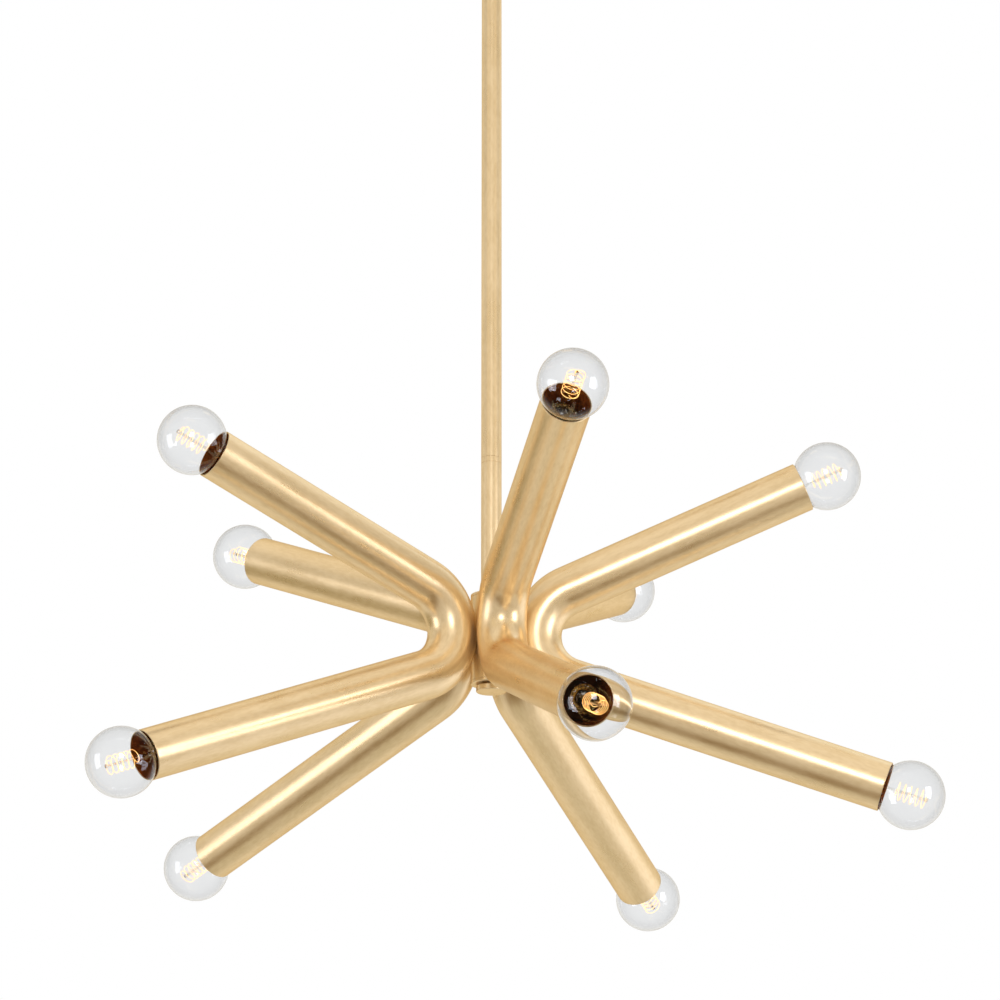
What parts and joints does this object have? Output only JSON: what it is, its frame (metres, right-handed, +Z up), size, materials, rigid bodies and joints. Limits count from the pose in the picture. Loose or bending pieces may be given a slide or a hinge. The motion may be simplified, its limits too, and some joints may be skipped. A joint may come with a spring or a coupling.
{
  "type": "chandelier",
  "caption": "Stem-hung chandelier: bent gold tubes round a post, each with a rising and a falling arm that holds a clear globe lamp, on a slim stem from a ceiling canopy.",
  "frame": {"origin": "centre of the ceiling box's screw pattern, on the ceiling plane, on the stem's axis", "axes": "+Z up into the ceiling, along the stem; +X along the crossbar; -Y towards the viewer of the picture"},
  "size_m": [0.6341, 0.6409, 0.8102],
  "materials": {
    "gold_leaf": "satin gold leaf",
    "zinc_steel": "zinc plated",
    "nylon": "moulded",
    "earth_green": "painted screw",
    "lead_jacket": "clear gold jacket",
    "insulator": "moulded, dark",
    "brass": "rolled sheet",
    "clear_glass": "clear",
    "nickel": "nickel plated",
    "filament": "glowing wire"
  },
  "bodies": {
    "ceiling_mount": {"canopy": "gold_leaf", "crossbar": "zinc_steel", "canopy_studs": "zinc_steel", "canopy_nuts": "gold_leaf", "earth_screw": "earth_green"},
    "swivel_seat": {"seat_ring": "nylon"},
    "chandelier": {"swivel_ball": "gold_leaf", "stem_nipples": "zinc_steel", "nipple_nuts": "zinc_steel", "upper_rod": "gold_leaf", "rod_coupler": "gold_leaf", "lower_rod": "gold_leaf", "stem_lead": "lead_jacket", "post": "gold_leaf", "post_top_cap": "gold_leaf", "post_bottom_cap": "gold_leaf", "finial": "gold_leaf", "terminal_block": "insulator", "arm_tube_front": "gold_leaf", "arm_tube_right": "gold_leaf", "arm_tube_back_right": "gold_leaf", "arm_tube_back_left": "gold_leaf", "arm_tube_left": "gold_leaf", "arm_nipples": "zinc_steel", "arm_nuts": "zinc_steel", "arm_leads": "lead_jacket", "holder_bodies": "insulator", "holder_shells": "brass", "holder_contacts": "brass", "holder_discs": "zinc_steel"},
    "lamp_front_upper": {"globe_front_upper": "clear_glass", "cap_front_upper": "nickel", "filament_front_upper": "filament"},
    "lamp_front_lower": {"globe_front_lower": "clear_glass", "cap_front_lower": "nickel", "filament_front_lower": "filament"},
    "lamp_right_upper": {"globe_right_upper": "clear_glass", "cap_right_upper": "nickel", "filament_right_upper": "filament"},
    "lamp_right_lower": {"globe_right_lower": "clear_glass", "cap_right_lower": "nickel", "filament_right_lower": "filament"},
    "lamp_back_right_upper": {"globe_back_right_upper": "clear_glass", "cap_back_right_upper": "nickel", "filament_back_right_upper": "filament"},
    "lamp_back_right_lower": {"globe_back_right_lower": "clear_glass", "cap_back_right_lower": "nickel", "filament_back_right_lower": "filament"},
    "lamp_back_left_upper": {"globe_back_left_upper": "clear_glass", "cap_back_left_upper": "nickel", "filament_back_left_upper": "filament"},
    "lamp_back_left_lower": {"globe_back_left_lower": "clear_glass", "cap_back_left_lower": "nickel", "filament_back_left_lower": "filament"},
    "lamp_left_upper": {"globe_left_upper": "clear_glass", "cap_left_upper": "nickel", "filament_left_upper": "filament"},
    "lamp_left_lower": {"globe_left_lower": "clear_glass", "cap_left_lower": "nickel", "filament_left_lower": "filament"}
  },
  "joints": [
    {"name": "seat_turn", "type": "hinge", "parent": "ceiling_mount", "child": "swivel_seat", "pos_m": [0, 0, -0.0235], "axis": [0, 0, 1], "range_deg": [-160, 160]},
    {"name": "stem_tilt", "type": "hinge", "parent": "swivel_seat", "child": "chandelier", "pos_m": [0, 0, -0.0235], "axis": [1, 0, 0], "range_deg": [-20, 20]},
    {"name": "lamp_front_upper_out", "type": "slide", "parent": "chandelier", "child": "lamp_front_upper", "axis": [0.2072, -0.8976, 0.3891], "range_m": [0, 0.04]},
    {"name": "lamp_front_lower_out", "type": "slide", "parent": "chandelier", "child": "lamp_front_lower", "axis": [0.2115, -0.9162, -0.3404], "range_m": [0, 0.04]},
    {"name": "lamp_right_upper_out", "type": "slide", "parent": "chandelier", "child": "lamp_right_upper", "axis": [0.9145, -0.1121, 0.3888], "range_m": [0, 0.04]},
    {"name": "lamp_right_lower_out", "type": "slide", "parent": "chandelier", "child": "lamp_right_lower", "axis": [0.9368, -0.0825, -0.34], "range_m": [0, 0.04]},
    {"name": "lamp_back_right_upper_out", "type": "slide", "parent": "chandelier", "child": "lamp_back_right_upper", "axis": [0.3883, 0.8596, 0.3321], "range_m": [0, 0.04]},
    {"name": "lamp_back_right_lower_out", "type": "slide", "parent": "chandelier", "child": "lamp_back_right_lower", "axis": [0.3835, 0.8338, -0.3971], "range_m": [0, 0.04]},
    {"name": "lamp_back_left_upper_out", "type": "slide", "parent": "chandelier", "child": "lamp_back_left_upper", "axis": [-0.71, 0.6023, 0.3649], "range_m": [0, 0.04]},
    {"name": "lamp_back_left_lower_out", "type": "slide", "parent": "chandelier", "child": "lamp_back_left_lower", "axis": [-0.7059, 0.6071, -0.3649], "range_m": [0, 0.04]},
    {"name": "lamp_left_upper_out", "type": "slide", "parent": "chandelier", "child": "lamp_left_upper", "axis": [-0.7879, -0.4961, 0.3649], "range_m": [0, 0.04]},
    {"name": "lamp_left_lower_out", "type": "slide", "parent": "chandelier", "child": "lamp_left_lower", "axis": [-0.7913, -0.4907, -0.3649], "range_m": [0, 0.04]}
  ]
}
